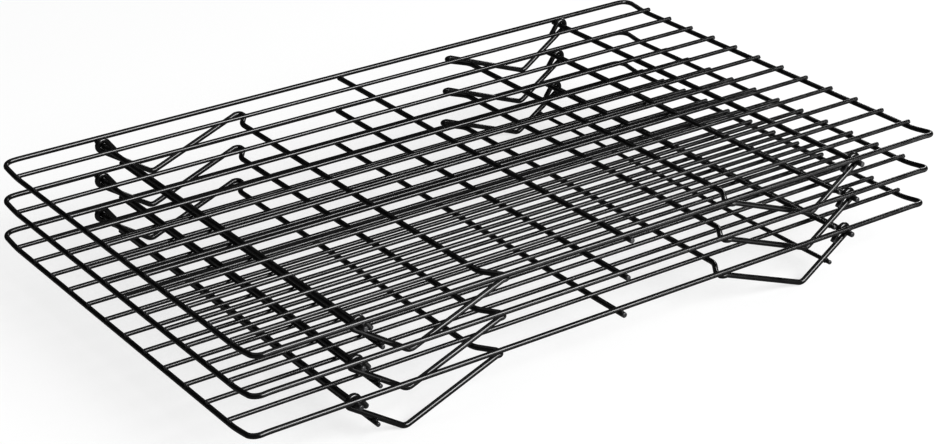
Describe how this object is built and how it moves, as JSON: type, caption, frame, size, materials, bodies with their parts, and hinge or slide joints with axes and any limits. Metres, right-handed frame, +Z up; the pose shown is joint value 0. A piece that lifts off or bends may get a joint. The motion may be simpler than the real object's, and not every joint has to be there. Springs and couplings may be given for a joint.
{
  "type": "cooling rack",
  "caption": "Stackable wire cooling rack: loose rectangular wire grids nested on one another, each with a hinged wire leg folded flat beneath either end",
  "frame": {"origin": "centre of the footprint at the underside of the bottom tier's folded feet, as nested for storage", "axes": "+X along the long rods towards the right end, +Y across the rack towards the back, +Z up"},
  "size_m": [0.408, 0.256, 0.0644],
  "materials": {
    "non_stick_coating": "black satin non-stick coating"
  },
  "bodies": {
    "bottom_grid": {"bottom_frame_loop": "non_stick_coating", "bottom_long_rod_01": "non_stick_coating", "bottom_long_rod_02": "non_stick_coating", "bottom_long_rod_03": "non_stick_coating", "bottom_long_rod_04": "non_stick_coating", "bottom_long_rod_05": "non_stick_coating", "bottom_long_rod_06": "non_stick_coating", "bottom_long_rod_07": "non_stick_coating", "bottom_long_rod_08": "non_stick_coating", "bottom_long_rod_09": "non_stick_coating", "bottom_long_rod_10": "non_stick_coating", "bottom_long_rod_11": "non_stick_coating", "bottom_long_rod_12": "non_stick_coating", "bottom_cross_rod_left": "non_stick_coating", "bottom_cross_rod_centre": "non_stick_coating", "bottom_cross_rod_right": "non_stick_coating"},
    "bottom_left_leg": {"bottom_leg_wire_left": "non_stick_coating", "bottom_leg_brace_left": "non_stick_coating"},
    "bottom_right_leg": {"bottom_leg_wire_right": "non_stick_coating", "bottom_leg_brace_right": "non_stick_coating"},
    "middle_grid": {"middle_frame_loop": "non_stick_coating", "middle_long_rod_01": "non_stick_coating", "middle_long_rod_02": "non_stick_coating", "middle_long_rod_03": "non_stick_coating", "middle_long_rod_04": "non_stick_coating", "middle_long_rod_05": "non_stick_coating", "middle_long_rod_06": "non_stick_coating", "middle_long_rod_07": "non_stick_coating", "middle_long_rod_08": "non_stick_coating", "middle_long_rod_09": "non_stick_coating", "middle_long_rod_10": "non_stick_coating", "middle_long_rod_11": "non_stick_coating", "middle_long_rod_12": "non_stick_coating", "middle_cross_rod_left": "non_stick_coating", "middle_cross_rod_centre": "non_stick_coating", "middle_cross_rod_right": "non_stick_coating"},
    "middle_left_leg": {"middle_leg_wire_left": "non_stick_coating", "middle_leg_brace_left": "non_stick_coating"},
    "middle_right_leg": {"middle_leg_wire_right": "non_stick_coating", "middle_leg_brace_right": "non_stick_coating"},
    "top_grid": {"top_frame_loop": "non_stick_coating", "top_long_rod_01": "non_stick_coating", "top_long_rod_02": "non_stick_coating", "top_long_rod_03": "non_stick_coating", "top_long_rod_04": "non_stick_coating", "top_long_rod_05": "non_stick_coating", "top_long_rod_06": "non_stick_coating", "top_long_rod_07": "non_stick_coating", "top_long_rod_08": "non_stick_coating", "top_long_rod_09": "non_stick_coating", "top_long_rod_10": "non_stick_coating", "top_long_rod_11": "non_stick_coating", "top_long_rod_12": "non_stick_coating", "top_cross_rod_left": "non_stick_coating", "top_cross_rod_centre": "non_stick_coating", "top_cross_rod_right": "non_stick_coating"},
    "top_left_leg": {"top_leg_wire_left": "non_stick_coating", "top_leg_brace_left": "non_stick_coating"},
    "top_right_leg": {"top_leg_wire_right": "non_stick_coating", "top_leg_brace_right": "non_stick_coating"}
  },
  "joints": [
    {"name": "middle_lift", "type": "slide", "parent": "bottom_grid", "child": "middle_grid", "axis": [0, 0, 1], "range_m": [0, 0.13]},
    {"name": "top_lift", "type": "slide", "parent": "middle_grid", "child": "top_grid", "axis": [0, 0, 1], "range_m": [0, 0.13]},
    {"name": "bottom_left_leg_hinge", "type": "hinge", "parent": "bottom_grid", "child": "bottom_left_leg", "pos_m": [-0.1494, 0, 0.02234], "axis": [0, 1, 0], "range_deg": [0, 125]},
    {"name": "bottom_right_leg_hinge", "type": "hinge", "parent": "bottom_grid", "child": "bottom_right_leg", "pos_m": [0.1458, 0, 0.02234], "axis": [0, -1, 0], "range_deg": [0, 125]},
    {"name": "middle_left_leg_hinge", "type": "hinge", "parent": "middle_grid", "child": "middle_left_leg", "pos_m": [-0.1476, 0, 0.04131], "axis": [0, 1, 0], "range_deg": [0, 125]},
    {"name": "middle_right_leg_hinge", "type": "hinge", "parent": "middle_grid", "child": "middle_right_leg", "pos_m": [0.1476, 0, 0.04131], "axis": [0, -1, 0], "range_deg": [0, 125]},
    {"name": "top_left_leg_hinge", "type": "hinge", "parent": "top_grid", "child": "top_left_leg", "pos_m": [-0.1458, 0, 0.06028], "axis": [0, 1, 0], "range_deg": [0, 125]},
    {"name": "top_right_leg_hinge", "type": "hinge", "parent": "top_grid", "child": "top_right_leg", "pos_m": [0.1494, 0, 0.06028], "axis": [0, -1, 0], "range_deg": [0, 125]}
  ],
  "couplings": [
    {"joint": "middle_left_leg_hinge", "follows": "middle_lift", "rad_per_m": 16.7},
    {"joint": "middle_right_leg_hinge", "follows": "middle_lift", "rad_per_m": 16.7},
    {"joint": "top_left_leg_hinge", "follows": "top_lift", "rad_per_m": 16.7},
    {"joint": "top_right_leg_hinge", "follows": "top_lift", "rad_per_m": 16.7}
  ]
}
